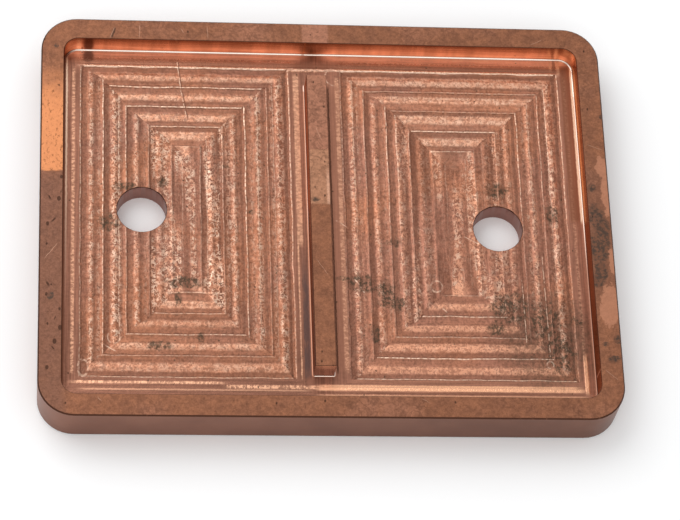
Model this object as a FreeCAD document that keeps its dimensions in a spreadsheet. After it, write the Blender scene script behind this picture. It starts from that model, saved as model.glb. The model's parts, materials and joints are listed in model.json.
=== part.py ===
"""Liquid cooling cold plate: the open copper base, milled from one block.

A rounded slab carries a shallow pocket with a rim round it. A central rib stands at rim
height and stops short of both end walls, so coolant turns round its ends from one chamber to
the other. Each chamber has one plain port straight down through its floor, and its floor
keeps the nested rectangular lanes that the cutter left.

The frame: millimetres, the base face on Z = 0, the origin under the centre of the slab, +X
along the longer side, +Y towards the far end wall, +Z up out of the pocket.
"""
import FreeCAD, Part
import math
import os

import Sketcher
from FreeCAD import Vector

doc = FreeCAD.newDocument("cold_plate")

# ---------------------------------------------------------------- driving dimensions
SIZES = [
    # the slab
    ("plate_length", 150.0),
    ("plate_width", 115.0),
    ("plate_thickness", 12.5),
    ("plate_corner_radius", 9.5),
    ("rim_edge_break", 0.35),
    ("base_edge_break", 0.3),
    # the pocket
    ("rim_width", 6.0),
    ("pocket_depth", 6.2),
    ("pocket_corner_radius", 4.0),
    ("foot_radius", 0.4),
    # the rib between the chambers
    ("rib_width", 5.3),
    ("rib_shift", -1.9),
    ("far_flow_gap", 9.8),
    ("near_flow_gap", 8.2),
    # the ports
    ("port_diameter", 13.0),
    ("left_port_x", -48.3),
    ("left_port_y", 3.8),
    ("right_port_x", 45.7),
    ("right_port_y", -0.3),
    # the cutter's lanes on the chamber floors
    ("side_lane", 4.4),
    ("rib_lane", 4.2),
    ("far_lane", 4.8),
    ("near_lane", 7.2),
    ("lane_pitch", 6.0),
    ("lane_depth", 0.2),
    ("lane_flank", 55.0),
    ("lane_corner_radius", 1.3),
    ("cusp_width", 0.3),
    ("crown_width", 1.0),
]

sheet = doc.addObject("Spreadsheet::Sheet", "Sizes")
for row, (alias, value) in enumerate(SIZES, start=1):
    sheet.set(f"A{row}", alias)
    sheet.set(f"B{row}", str(value))
    sheet.setAlias(f"B{row}", alias)
doc.recompute()


def size(alias):
    """The value of one driving dimension, in millimetres."""
    return float(getattr(sheet, alias))


class Length:
    """A length worked out from the sheet: its value now, and the expression that binds it."""

    def __init__(self, value, text):
        self.value = value
        self.text = text

    def __add__(self, other):
        other = as_length(other)
        return Length(self.value + other.value, f"{self.text} + {other.text}")

    def __sub__(self, other):
        other = as_length(other)
        return Length(self.value - other.value, f"{self.text} - ({other.text})")

    def __neg__(self):
        return Length(-self.value, f"-({self.text})")

    def times(self, factor):
        return Length(self.value * factor, f"({self.text}) * {factor}")


def as_length(item):
    """A driving dimension by its alias, or a Length as it is."""
    if isinstance(item, Length):
        return item
    return Length(size(item), f"Sizes.{item}")


# ---------------------------------------------------------------- sketch helpers
def origin_plane(body, role):
    """The body's own origin plane that has this role."""
    return next(feature for feature in body.Origin.OriginFeatures if feature.Role == role)


def new_sketch(body, name, height=None):
    """A sketch in the body's XY plane, raised by a height from the sheet."""
    sketch = body.newObject("Sketcher::SketchObject", name)
    sketch.AttachmentSupport = [(origin_plane(body, "XY_Plane"), "")]
    sketch.MapMode = "FlatFace"
    if height is not None:
        sketch.setExpression("AttachmentOffset.Base.z", height.text)
    return sketch


class Box:
    """The four sides of an upright rectangle in plan."""

    def __init__(self, left, right, near, far):
        self.left, self.right, self.near, self.far = left, right, near, far

    def inset(self, amount):
        return Box(self.left + amount, self.right - amount, self.near + amount, self.far - amount)


def bind(sketch, constraint, name, length):
    """Adds a dimension and ties it to the sheet."""
    index = sketch.addConstraint(constraint)
    sketch.renameConstraint(index, name)
    sketch.setExpression(f"Constraints.{name}", length.text)


def place_side(sketch, name, kind, line, coordinate):
    """Fixes a straight side at its signed distance from the sketch's origin."""
    axis_point = (-1, 1)
    if coordinate.value < 0:
        first, second, distance = (line, 1), axis_point, -coordinate
    else:
        first, second, distance = axis_point, (line, 1), coordinate
    bind(sketch, Sketcher.Constraint(kind, *first, *second, distance.value), name, distance)


def draw_rectangle(sketch, name, box, radius=None):
    """A fully constrained rectangle, its corners rounded where a radius is given."""
    r = radius.value if radius else 0.0
    left, right, near, far = box.left.value, box.right.value, box.near.value, box.far.value
    sides = [
        (Vector(left + r, near, 0), Vector(right - r, near, 0)),
        (Vector(right, near + r, 0), Vector(right, far - r, 0)),
        (Vector(right - r, far, 0), Vector(left + r, far, 0)),
        (Vector(left, far - r, 0), Vector(left, near + r, 0)),
    ]
    lines = [sketch.addGeometry(Part.LineSegment(start, end), False) for start, end in sides]
    if radius:
        centres = [
            Vector(right - r, near + r, 0),
            Vector(right - r, far - r, 0),
            Vector(left + r, far - r, 0),
            Vector(left + r, near + r, 0),
        ]
        arcs = []
        for turn, centre in enumerate(centres):
            circle = Part.Circle(centre, Vector(0, 0, 1), r)
            start = math.radians(-90 + 90 * turn)
            arc = Part.ArcOfCircle(circle, start, start + math.radians(90))
            arcs.append(sketch.addGeometry(arc, False))
        for turn, arc in enumerate(arcs):
            following = lines[(turn + 1) % 4]
            sketch.addConstraint(Sketcher.Constraint("Tangent", lines[turn], 2, arc, 1))
            sketch.addConstraint(Sketcher.Constraint("Tangent", arc, 2, following, 1))
        for arc in arcs[1:]:
            sketch.addConstraint(Sketcher.Constraint("Equal", arcs[0], arc))
        bind(sketch, Sketcher.Constraint("Radius", arcs[0], r), f"{name}_radius", radius)
    else:
        for turn, line in enumerate(lines):
            following = lines[(turn + 1) % 4]
            sketch.addConstraint(Sketcher.Constraint("Coincident", line, 2, following, 1))
    for line, direction in zip(lines, ("Horizontal", "Vertical", "Horizontal", "Vertical")):
        sketch.addConstraint(Sketcher.Constraint(direction, line))
    place_side(sketch, f"{name}_near", "DistanceY", lines[0], box.near)
    place_side(sketch, f"{name}_right", "DistanceX", lines[1], box.right)
    place_side(sketch, f"{name}_far", "DistanceY", lines[2], box.far)
    place_side(sketch, f"{name}_left", "DistanceX", lines[3], box.left)


def edges_where(shape, wanted):
    """The names of the shape's edges that meet a condition, for a fillet or a chamfer."""
    return [f"Edge{i}" for i, edge in enumerate(shape.Edges, start=1) if wanted(edge)]


def lies_at(edge, height):
    """True where the whole edge lies at this height."""
    box = edge.BoundBox
    return abs(box.ZMin - height) < 1e-4 and abs(box.ZMax - height) < 1e-4


# ---------------------------------------------------------------- plan of the plate
half_length = as_length("plate_length").times(0.5)
half_width = as_length("plate_width").times(0.5)
half_rib = as_length("rib_width").times(0.5)
top = as_length("plate_thickness")
floor = top - "pocket_depth"

outline = Box(-half_length, half_length, -half_width, half_width)
pocket = outline.inset("rim_width")
rib = Box(
    as_length("rib_shift") - half_rib,
    as_length("rib_shift") + half_rib,
    pocket.near + "near_flow_gap",
    pocket.far - "far_flow_gap",
)
near_edge = pocket.near + "near_lane"
far_edge = pocket.far - "far_lane"
LANE_FIELDS = {
    "left": Box(pocket.left + "side_lane", rib.left - "rib_lane", near_edge, far_edge),
    "right": Box(rib.right + "rib_lane", pocket.right - "side_lane", near_edge, far_edge),
}


# ---------------------------------------------------------------- the plate, feature by feature
def add_slab(body):
    sketch = new_sketch(body, "slab_outline")
    draw_rectangle(sketch, "slab", outline, as_length("plate_corner_radius"))
    pad = body.newObject("PartDesign::Pad", "slab")
    pad.Profile = sketch
    pad.setExpression("Length", "Sizes.plate_thickness")
    doc.recompute()


def add_pocket(body):
    """One pocket for both chambers; the rib is the island that the cutter goes round."""
    sketch = new_sketch(body, "pocket_outline", top)
    draw_rectangle(sketch, "pocket", pocket, as_length("pocket_corner_radius"))
    draw_rectangle(sketch, "rib", rib)
    cut = body.newObject("PartDesign::Pocket", "chambers")
    cut.Profile = sketch
    cut.setExpression("Length", "Sizes.pocket_depth")
    doc.recompute()


def add_foot_fillet(body):
    """The small radius that the cutter's corner leaves at the foot of every wall."""
    def is_foot(edge):
        return lies_at(edge, floor.value)

    base = body.Tip
    fillet = body.newObject("PartDesign::Fillet", "wall_foot")
    fillet.Base = (base, edges_where(base.Shape, is_foot))
    fillet.setExpression("Radius", "Sizes.foot_radius")
    doc.recompute()


def lane_count(field):
    """How many whole lanes fit round a middle slot that still has straight sides."""
    width = min(field.right.value - field.left.value, field.far.value - field.near.value)
    flank_run = size("lane_depth") * math.tan(math.radians(size("lane_flank")))
    half_slot = size("cusp_width") + size("lane_corner_radius") + flank_run
    return int((width / 2 - half_slot) // size("lane_pitch"))


def cut_lane(body, name, grooves):
    """Sinks one lane's grooves into the floor. A groove is its outer wall, rounded as the
    cutter leaves it, and the land inside it, if it has one."""
    sketch = new_sketch(body, f"{name}_path", floor)
    for index, (wall, land) in enumerate(grooves, start=1):
        draw_rectangle(sketch, f"wall_{index}", wall, as_length("lane_corner_radius"))
        if land:
            draw_rectangle(sketch, f"land_{index}", land)
    cut = body.newObject("PartDesign::Pocket", name)
    cut.Profile = sketch
    cut.setExpression("Length", "Sizes.lane_depth")
    cut.setExpression("TaperAngle", "-Sizes.lane_flank")
    doc.recompute()


def add_lanes(body, name, field):
    """Nested rectangular lanes. A narrow cusp stands between two lanes, and a broader
    crown runs along the middle of each; what is left in the middle is one open slot."""
    half_crown = as_length("crown_width").times(0.5)
    count = lane_count(field)
    for lane in range(count):
        edge = as_length("lane_pitch").times(lane)
        following = as_length("lane_pitch").times(lane + 1)
        middle = (edge + "cusp_width" + following).times(0.5)
        grooves = (
            (field.inset(edge + "cusp_width"), field.inset(middle - half_crown)),
            (field.inset(middle + half_crown), field.inset(following)),
        )
        cut_lane(body, f"{name}_lane_{lane + 1}", grooves)
    slot = as_length("lane_pitch").times(count) + "cusp_width"
    cut_lane(body, f"{name}_slot", ((field.inset(slot), None),))


def add_ports(body):
    """Two plain ports, drilled straight through the floor."""
    sketch = new_sketch(body, "port_centres", top)
    for name in ("left", "right"):
        x, y = as_length(f"{name}_port_x"), as_length(f"{name}_port_y")
        circle = Part.Circle(Vector(x.value, y.value, 0), Vector(0, 0, 1), size("port_diameter") / 2)
        centre = (sketch.addGeometry(circle, False), 3)
        for axis, place in (("X", x), ("Y", y)):
            ends = (centre, (-1, 1)) if place.value < 0 else ((-1, 1), centre)
            distance = -place if place.value < 0 else place
            bind(
                sketch,
                Sketcher.Constraint(f"Distance{axis}", *ends[0], *ends[1], distance.value),
                f"{name}_port_{axis.lower()}",
                distance,
            )
        radius = as_length("port_diameter").times(0.5)
        bind(sketch, Sketcher.Constraint("Radius", centre[0], radius.value), f"{name}_port_radius", radius)
    doc.recompute()
    hole = body.newObject("PartDesign::Hole", "ports")
    hole.Profile = sketch
    hole.Threaded = False
    hole.DepthType = "ThroughAll"
    hole.setExpression("Diameter", "Sizes.port_diameter")
    doc.recompute()


def add_edge_breaks(body):
    """The light chamfers round the rim and round the base."""
    def is_outline(edge, height):
        reach = max(abs(edge.BoundBox.XMin), abs(edge.BoundBox.XMax)) - half_length.value
        depth = max(abs(edge.BoundBox.YMin), abs(edge.BoundBox.YMax)) - half_width.value
        return lies_at(edge, height) and (abs(reach) < 1e-4 or abs(depth) < 1e-4)

    for name, height, alias in (
        ("rim_break", top.value, "rim_edge_break"),
        ("base_break", 0.0, "base_edge_break"),
    ):
        base = body.Tip
        chamfer = body.newObject("PartDesign::Chamfer", name)
        chamfer.Base = (base, edges_where(base.Shape, lambda edge, z=height: is_outline(edge, z)))
        chamfer.setExpression("Size", f"Sizes.{alias}")
        doc.recompute()


def make_plate():
    body = doc.addObject("PartDesign::Body", "cold_plate")
    body.Label = "cold_plate"
    add_slab(body)
    add_pocket(body)
    add_foot_fillet(body)
    for name, field in LANE_FIELDS.items():
        add_lanes(body, name, field)
    add_ports(body)
    add_edge_breaks(body)
    return body


# ---------------------------------------------------------------- check and write
def check(parts):
    for item in doc.Objects:
        if "Invalid" in item.State or "Error" in item.State:
            raise RuntimeError(f"{item.Label} did not recompute: {item.State}")
    for part in parts:
        if part.Shape.isNull() or not part.Shape.isValid() or len(part.Shape.Solids) != 1:
            raise RuntimeError(f"{part.Label} is not one valid solid")


def write(parts):
    os.makedirs("parts", exist_ok=True)
    for part in parts:
        part.Shape.exportStep(f"parts/{part.Label}.step")
        box = part.Shape.BoundBox
        print(
            f"{part.Label}: {box.XLength:.2f} x {box.YLength:.2f} x {box.ZLength:.2f} mm,"
            f" {part.Shape.Volume / 1000:.2f} cm3, {len(part.Shape.Faces)} faces"
        )


parts = [make_plate()]
doc.recompute()
check(parts)
write(parts)
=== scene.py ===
"""Looks for the liquid cooling cold plate.

One watertight mesh stands for the CAD solid. Its chamber floors are a grid whose lines fall
on the cutter's lanes, so every cusp and crown is real relief; its walls, rim, sides and bores
are rings stitched to that grid. The materials are procedural and work in millimetres.
"""
import json
import math
from functools import reduce

import bpy
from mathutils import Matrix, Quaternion, Vector, noise
from mathutils.geometry import delaunay_2d_cdt


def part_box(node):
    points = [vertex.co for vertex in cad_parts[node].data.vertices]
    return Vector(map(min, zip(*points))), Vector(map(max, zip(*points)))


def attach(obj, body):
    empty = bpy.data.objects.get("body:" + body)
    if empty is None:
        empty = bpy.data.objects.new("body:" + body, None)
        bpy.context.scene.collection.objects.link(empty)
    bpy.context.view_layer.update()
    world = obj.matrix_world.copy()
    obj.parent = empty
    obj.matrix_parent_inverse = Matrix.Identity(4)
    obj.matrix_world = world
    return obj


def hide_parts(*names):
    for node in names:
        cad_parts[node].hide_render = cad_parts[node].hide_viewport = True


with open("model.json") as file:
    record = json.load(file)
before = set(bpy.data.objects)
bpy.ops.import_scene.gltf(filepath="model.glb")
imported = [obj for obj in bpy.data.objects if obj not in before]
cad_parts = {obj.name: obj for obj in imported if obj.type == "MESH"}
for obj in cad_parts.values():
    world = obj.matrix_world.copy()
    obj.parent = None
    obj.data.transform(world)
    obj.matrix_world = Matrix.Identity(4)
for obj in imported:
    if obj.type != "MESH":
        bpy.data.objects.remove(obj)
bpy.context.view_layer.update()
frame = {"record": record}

MM = 0.001
TINY = 1e-6


# ---------------- plan of the plate, in mm
class Box:
    """The four sides of an upright rectangle in plan."""

    def __init__(self, left, right, near, far):
        self.left, self.right, self.near, self.far = left, right, near, far

    def inset(self, amount):
        return Box(self.left + amount, self.right - amount, self.near + amount, self.far - amount)

    def holds(self, x, y, room=TINY):
        """True where the point lies inside, or no further out than the room."""
        beside = min(x - self.left, self.right - x)
        return min(beside, y - self.near, self.far - y) > -room

    def mix(self, other, t):
        """The rectangle part of the way from this one to another."""
        pairs = zip(vars(self).values(), vars(other).values())
        return Box(*(a + (b - a) * t for a, b in pairs))


low, high = ([round(value / MM, 3) for value in corner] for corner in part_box("cold_plate"))
OUTLINE = Box(low[0], high[0], low[1], high[1])
TOP = high[2]
OUTER_CORNER = 9.5
RIM_WIDTH = 6
RIM_BREAK = 0.35
BASE_BREAK = 0.3
WALL_BREAK = 0.12
POCKET = OUTLINE.inset(RIM_WIDTH)
POCKET_CORNER = 4
POCKET_DEPTH = 6.2
FLOOR = TOP - POCKET_DEPTH
FOOT = 0.4
NEAR_GAP = 8.2
FAR_GAP = 9.8
RIB = Box(-4.55, 0.75, POCKET.near + NEAR_GAP, POCKET.far - FAR_GAP)
RIB_CORNER = 0.15
MIDDLE = (RIB.left + RIB.right) / 2
PORT_EDGE = 0.15

# The nested lanes: each field's margins, then the lanes' own section.
BESIDE_WALL = 4.4
BESIDE_RIB = 4.2
NEAR_MARGIN = 7.2
FAR_MARGIN = 4.8
LANES = 4
PITCH = 6
LANE_DEPTH = 0.2
CUSP = 0.3
CROWN = 1
FLANK = 0.286
ROWS = (POCKET.near + NEAR_MARGIN, POCKET.far - FAR_MARGIN)
FIELDS = {
    "left": Box(POCKET.left + BESIDE_WALL, RIB.left - BESIDE_RIB, *ROWS),
    "right": Box(RIB.right + BESIDE_RIB, POCKET.right - BESIDE_WALL, *ROWS),
}

# How fine the mesh is: the cells of the floor and of the flat faces, the least room between
# two lines and beside a curve, the steps of each curve, and the width of a port's patch.
CELL_X = 0.55
CELL_Y = 0.5
LINE_ROOM = 0.06
EDGE_ROOM = 0.12
FLAT_CELL_RIB = 2
FLAT_CELL_BASE = 5
CORNER_STEPS = 10
RIB_CORNER_STEPS = 4
FOOT_STEPS = 4
PORT_STEPS = 96
PORT_ROOM = 0.6


def read_ports():
    """Centre and radius of each port, from the record's mounts."""
    ports = []
    for mount in frame["record"]["mounts"]:
        if mount["kind"] == "bore":
            x, y = (value / MM for value in mount["pos_m"][:2])
            ports.append((x, y, mount["dims"]["r_mm"]))
    return ports


PORTS = read_ports()


# ---------------- relief of the chamber floors
def ramp(value, start, end):
    return min(1, max(0, (value - start) / (end - start)))


def lane_profile(depth):
    """Height over the lane's bottom, 0 to 1, at this distance inside the outermost cusp."""
    if depth <= 0:
        return 1
    lane = int(depth // PITCH)
    across = depth - min(lane, LANES) * PITCH
    down_from_cusp = 1 - ramp(across, CUSP, CUSP + FLANK)
    if lane >= LANES:
        return down_from_cusp
    middle = (CUSP + PITCH) / 2
    reach = abs(across - middle)
    crown = 1 - ramp(reach, CROWN / 2, CROWN / 2 + FLANK)
    up_to_cusp = ramp(across, PITCH - FLANK, PITCH)
    return max(down_from_cusp, crown, up_to_cusp)


def floor_height(x, y):
    """The milled floor with its lanes, and the unevenness that the cutter leaves."""
    field = FIELDS["left"] if x < MIDDLE else FIELDS["right"]
    depth = min(x - field.left, field.right - x, y - field.near, field.far - y)
    if depth <= 0:
        return FLOOR
    uneven = 0.85 + 0.75 * noise.noise(Vector((x * 1.1, y * 1.1, 3)))
    burrs = 0.1 * noise.noise(Vector((x * 0.8, y * 0.8, 6)))
    relief = lane_profile(depth) * min(1, uneven) + burrs * ramp(depth, 0, 1)
    return FLOOR - LANE_DEPTH * (1 - min(1, relief))


# ---------------- the grid's lines
def lane_offsets():
    """Distances inside the field's edge where the profile of the lanes bends."""
    middle, reach = (CUSP + PITCH) / 2, CROWN / 2 + FLANK
    cusp = [0, CUSP, CUSP + FLANK]
    crown = [middle - CROWN / 2, middle - reach, middle + CROWN / 2, middle + reach]
    bends = cusp + crown + [PITCH - FLANK]
    offsets = [lane * PITCH + bend for lane in range(LANES) for bend in bends]
    return offsets + [LANES * PITCH + bend for bend in cusp]


def filled(fixed, wanted, spacing):
    """All the fixed lines in order, the wanted ones that are clear of them, and even ones
    between wherever two are far apart."""
    lines = sorted(set(round(line, 3) for line in fixed))
    for line in sorted(set(round(line, 3) for line in wanted)):
        if min(abs(line - other) for other in lines) > LINE_ROOM:
            lines.append(line)
    lines.sort()
    result = lines[:1]
    for start, end in zip(lines, lines[1:]):
        steps = max(1, math.ceil((end - start) / spacing - TINY))
        result += [round(start + (end - start) * (i + 1) / steps, 3) for i in range(steps)]
    return result


def grid_lines():
    """The x and y lines of the floor grid, from wall foot to wall foot."""
    boxes = [POCKET.inset(FOOT), POCKET.inset(POCKET_CORNER)]
    boxes += [RIB.inset(-FOOT), RIB.inset(RIB_CORNER)]
    xs = [x for box in boxes for x in (box.left, box.right)]
    ys = [y for box in boxes for y in (box.near, box.far)]
    lanes_x, lanes_y = [], []
    for field in FIELDS.values():
        for offset in lane_offsets():
            lanes_x += [field.left + offset, field.right - offset]
            lanes_y += [field.near + offset, field.far - offset]
    return filled(xs, lanes_x, CELL_X), filled(ys, lanes_y, CELL_Y)


# ---------------- building the mesh
MATERIALS = ["floor", "foot", "wall", "rim", "edge", "side", "bore", "base"]


class Surface:
    """Vertices shared by position, and faces with their material."""

    def __init__(self):
        self.points, self.index, self.faces, self.kinds = [], {}, [], []

    def point(self, x, y, z, key=None):
        key = key or (round(x, 3), round(y, 3), round(z, 3))
        if key not in self.index:
            self.index[key] = len(self.points)
            self.points.append((x * MM, y * MM, z * MM))
        return self.index[key]

    def floor_point(self, x, y):
        key = (round(x, 3), round(y, 3), "floor")
        return self.point(x, y, floor_height(x, y), key)

    def face(self, corners, kind):
        corners = list(dict.fromkeys(corners))
        if len(corners) > 2:
            self.faces.append(corners)
            self.kinds.append(MATERIALS.index(kind))

    def stitch(self, inner, outer, kind):
        """Joins two rings of as many points, the surface facing as the rings' order has it."""
        for i, j in around(len(inner)):
            self.face((inner[i], outer[i], outer[j], inner[j]), kind)

    def ring(self, ring, z):
        return [self.point(x, y, z) for x, y in ring]

    def fill(self, outer, holes, kind, facing, spacing):
        """A flat face inside a convex ring and outside round holes, each given as its ring,
        centre and radius. Points on a coarse grid keep its triangles in shape."""
        rings = [outer] + [ring for ring, _, _ in holes]
        places = [self.points[i] for ring in rings for i in ring]
        known = [i for ring in rings for i in ring]
        z = places[0][2] / MM
        edges, start = [], 0
        for ring in rings:
            edges += [(start + i, start + j) for i, j in around(len(ring))]
            start += len(ring)

        def clear(x, y):
            return all(math.hypot(x - cx, y - cy) > radius for _, (cx, cy), radius in holes)

        border = [(x / MM, y / MM) for x, y, _ in places]
        reach_x, reach_y = (max(abs(place[k]) for place in border) for k in (0, 1))
        for column in range(-int(reach_x / spacing), int(reach_x / spacing) + 1):
            for row in range(-int(reach_y / spacing), int(reach_y / spacing) + 1):
                x, y = column * spacing, row * spacing
                gap = min(math.hypot(x - px, y - py) for px, py in border)
                if clear(x, y) and gap > spacing / 2 and within(x, y, border[:len(outer)]):
                    places.append((x * MM, y * MM, z * MM))
                    known.append(self.point(x, y, z))
        flat = [(x / MM, y / MM) for x, y, _ in places]
        for middle, corners in triangles(flat, edges):
            if clear(*middle):
                self.face([known[origin] for _, origin in corners][::facing], kind)


def around(count):
    """Each point of a ring with the one after it, as numbers."""
    return [(i, (i + 1) % count) for i in range(count)]


def triangles(places, edges):
    """Triangles between flat places that keep the edges: each one's middle, and its corners
    as the place and the number of the place that it came from."""
    found = delaunay_2d_cdt([Vector(place) for place in places], edges, [], 0, 1e-5)
    vertices, faces, origins = found[0], found[2], found[3]
    result = []
    for face in faces:
        middle = sum((vertices[i] for i in face), Vector((0, 0))) / len(face)
        corners = [(vertices[i], origins[i][0] if origins[i] else None) for i in face]
        result.append((middle, corners))
    return result


def within(x, y, ring):
    """True where the point lies inside a convex anticlockwise ring."""
    following = ring[1:] + ring[:1]
    return all(
        (bx - ax) * (y - ay) - (by - ay) * (x - ax) > 0 for (ax, ay), (bx, by) in zip(ring, following)
    )


def rounded_ring(box, radius, xs, ys, corner_steps):
    """Points round a rounded rectangle, anticlockwise. xs and ys give the stations along the
    straight sides, as fractions from 0 to 1."""
    core = box.inset(radius)
    x_at = [core.left + (core.right - core.left) * s for s in xs]
    y_at = [core.near + (core.far - core.near) * s for s in ys]
    turns = [math.radians(90) * step / corner_steps for step in range(1, corner_steps)]

    def arc(cx, cy, start):
        return [
            (cx + radius * math.cos(start + turn), cy + radius * math.sin(start + turn))
            for turn in turns
        ]

    points = [(x, box.near) for x in x_at] + arc(core.right, core.near, -math.pi / 2)
    points += [(box.right, y) for y in y_at] + arc(core.right, core.far, 0)
    points += [(x, box.far) for x in reversed(x_at)] + arc(core.left, core.far, math.pi / 2)
    points += [(box.left, y) for y in reversed(y_at)] + arc(core.left, core.near, math.pi)
    return points


def fractions(lines, start, end):
    """The grid lines from start to end, as fractions of the way."""
    return [(line - start) / (end - start) for line in between(lines, start, end)]


def between(lines, start, end):
    return [line for line in lines if start - TINY <= line <= end + TINY]


def circle(x, y, radius):
    turns = [2 * math.pi * step / PORT_STEPS for step in range(PORT_STEPS)]
    return [(x + radius * math.cos(turn), y + radius * math.sin(turn)) for turn in turns]


class Patch:
    """A block of grid cells that an arc crosses. The floor lies inside a hollow arc."""

    def __init__(self, box, lines, arc, centre, radius, hollow):
        self.window, self.arc = snapped_window(box, *lines), arc
        self.centre, self.radius, self.hollow = centre, radius, hollow

    def on_floor(self, x, y):
        cx, cy = self.centre
        return (math.hypot(x - cx, y - cy) < self.radius) == self.hollow


def snapped_window(box, xs, ys):
    """The block of whole cells that covers a box."""
    left = max(x for x in xs if x <= box.left + TINY)
    right = min(x for x in xs if x >= box.right - TINY)
    near = max(y for y in ys if y <= box.near + TINY)
    far = min(y for y in ys if y >= box.far - TINY)
    return Box(left, right, near, far)


def corner_patches(box, radius, hollow, lines, ring):
    """Patches at a rounded rectangle's four corners."""
    patches = []
    core = box.inset(radius)
    for cx, ex in ((core.left, box.left), (core.right, box.right)):
        for cy, ey in ((core.near, box.near), (core.far, box.far)):
            square = Box(min(cx, ex), max(cx, ex), min(cy, ey), max(cy, ey))
            arc = [place for place in ring if square.holds(*place)]
            patches.append(Patch(square, lines, arc, (cx, cy), radius, hollow))
    return patches


def port_patches(lines, rings):
    """Patches round the ports. Their limit is just inside the ring of straight steps."""
    patches = []
    for (x, y, radius), ring in zip(PORTS, rings):
        mouth = radius + PORT_EDGE
        square = Box(x, x, y, y).inset(-mouth - PORT_ROOM)
        patches.append(Patch(square, lines, ring + ring[:1], (x, y), mouth * 0.9995, False))
    return patches


def fill_patch(surface, patch, xs, ys):
    """Triangles between the patch's border cells and its curved outline."""
    box = patch.window
    columns, rows = between(xs, box.left, box.right), between(ys, box.near, box.far)
    places = []
    for x in columns:
        for y in rows:
            clear = min(math.hypot(x - px, y - py) for px, py in patch.arc)
            on_border = x in (columns[0], columns[-1]) or y in (rows[0], rows[-1])
            if patch.on_floor(x, y) and (clear > EDGE_ROOM or (on_border and clear > 1e-3)):
                places.append((x, y))
    start = len(places)
    closed = patch.arc[0] == patch.arc[-1]
    outline = patch.arc[:-1] if closed else patch.arc
    edges = [(start + i, start + j) for i, j in around(len(outline))]
    for middle, corners in triangles(places + outline, edges if closed else edges[:-1]):
        if patch.on_floor(*middle) and box.holds(*middle, room=0):
            surface.face([surface.floor_point(*place) for place, _ in corners], "floor")


def add_floor(surface, xs, ys, patches):
    """The floor's regular cells, and the patches where a curve crosses them."""
    filled_elsewhere = [RIB.inset(-FOOT)] + [patch.window for patch in patches]
    for left, right in zip(xs, xs[1:]):
        x = (left + right) / 2
        for near, far in zip(ys, ys[1:]):
            y = (near + far) / 2
            if any(box.holds(x, y, room=0) for box in filled_elsewhere):
                continue
            corners = ((left, near), (right, near), (right, far), (left, far))
            surface.face([surface.floor_point(*corner) for corner in corners], "floor")
    for patch in patches:
        fill_patch(surface, patch, xs, ys)


FOOT_TURNS = [math.radians(90) * step / FOOT_STEPS for step in range(1, FOOT_STEPS + 1)]


def add_walls_and_rim(surface, xs, ys):
    """From the foot of the pocket's wall, up it, over the rim and down the outer side."""
    bend = POCKET.inset(POCKET_CORNER)
    x_at, y_at = fractions(xs, bend.left, bend.right), fractions(ys, bend.near, bend.far)

    def ring(box, radius, z):
        return surface.ring(rounded_ring(box, radius, x_at, y_at, CORNER_STEPS), z)

    foot = rounded_ring(POCKET.inset(FOOT), POCKET_CORNER - FOOT, x_at, y_at, CORNER_STEPS)
    rings = [([surface.floor_point(x, y) for x, y in foot], "wall")]
    for turn in FOOT_TURNS:
        out = FOOT * math.sin(turn)
        box, radius = POCKET.inset(FOOT - out), POCKET_CORNER - FOOT + out
        rings.append((ring(box, radius, FLOOR + FOOT * (1 - math.cos(turn))), "foot"))
    rings.append((ring(POCKET, POCKET_CORNER, TOP - WALL_BREAK), "wall"))
    lip = POCKET.inset(-WALL_BREAK)
    brow = OUTLINE.inset(RIM_BREAK)
    lip_corner, brow_corner = POCKET_CORNER + WALL_BREAK, OUTER_CORNER - RIM_BREAK
    rings.append((ring(lip, lip_corner, TOP), "edge"))
    for t in (0.5, 1):
        radius = lip_corner + (brow_corner - lip_corner) * t
        rings.append((ring(lip.mix(brow, t), radius, TOP), "rim"))
    rings.append((ring(OUTLINE, OUTER_CORNER, TOP - RIM_BREAK), "edge"))
    rings.append((ring(OUTLINE, OUTER_CORNER, BASE_BREAK), "side"))
    sole = ring(OUTLINE.inset(BASE_BREAK), OUTER_CORNER - BASE_BREAK, 0)
    rings.append((sole, "edge"))
    for (inner, _), (outer, kind) in zip(rings, rings[1:]):
        surface.stitch(inner, outer, kind)
    return foot, sole


def add_rib(surface, xs, ys):
    """The rib, from its flat top down to the foot of its walls."""
    core = RIB.inset(RIB_CORNER)
    x_at, y_at = fractions(xs, core.left, core.right), fractions(ys, core.near, core.far)

    def outline(outset):
        return rounded_ring(RIB.inset(-outset), RIB_CORNER + outset, x_at, y_at, RIB_CORNER_STEPS)

    crest = surface.ring(outline(-WALL_BREAK * 0.9), TOP)
    upper = surface.ring(outline(0), TOP - WALL_BREAK)
    surface.fill(crest, [], "rim", 1, FLAT_CELL_RIB)
    surface.stitch(crest, upper, "edge")
    above, kind = upper, "wall"
    for turn in reversed(FOOT_TURNS):
        outset = FOOT * (1 - math.sin(turn))
        ring = surface.ring(outline(outset), FLOOR + FOOT * (1 - math.cos(turn)))
        surface.stitch(above, ring, kind)
        above, kind = ring, "foot"
    foot = outline(FOOT)
    surface.stitch(above, [surface.floor_point(x, y) for x, y in foot], "foot")
    return foot


def add_ports(surface):
    """The bores, from a light edge break at the floor down to the base."""
    mouths, soles = [], []
    for x, y, radius in PORTS:
        mouth = circle(x, y, radius + PORT_EDGE)
        rim = [surface.floor_point(*place) for place in mouth]
        throat = surface.ring(circle(x, y, radius), FLOOR - LANE_DEPTH - PORT_EDGE)
        sole = surface.ring(circle(x, y, radius), 0)
        surface.stitch(throat, rim, "edge")
        surface.stitch(sole, throat, "bore")
        mouths.append(mouth)
        soles.append(sole)
    return mouths, soles


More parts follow.
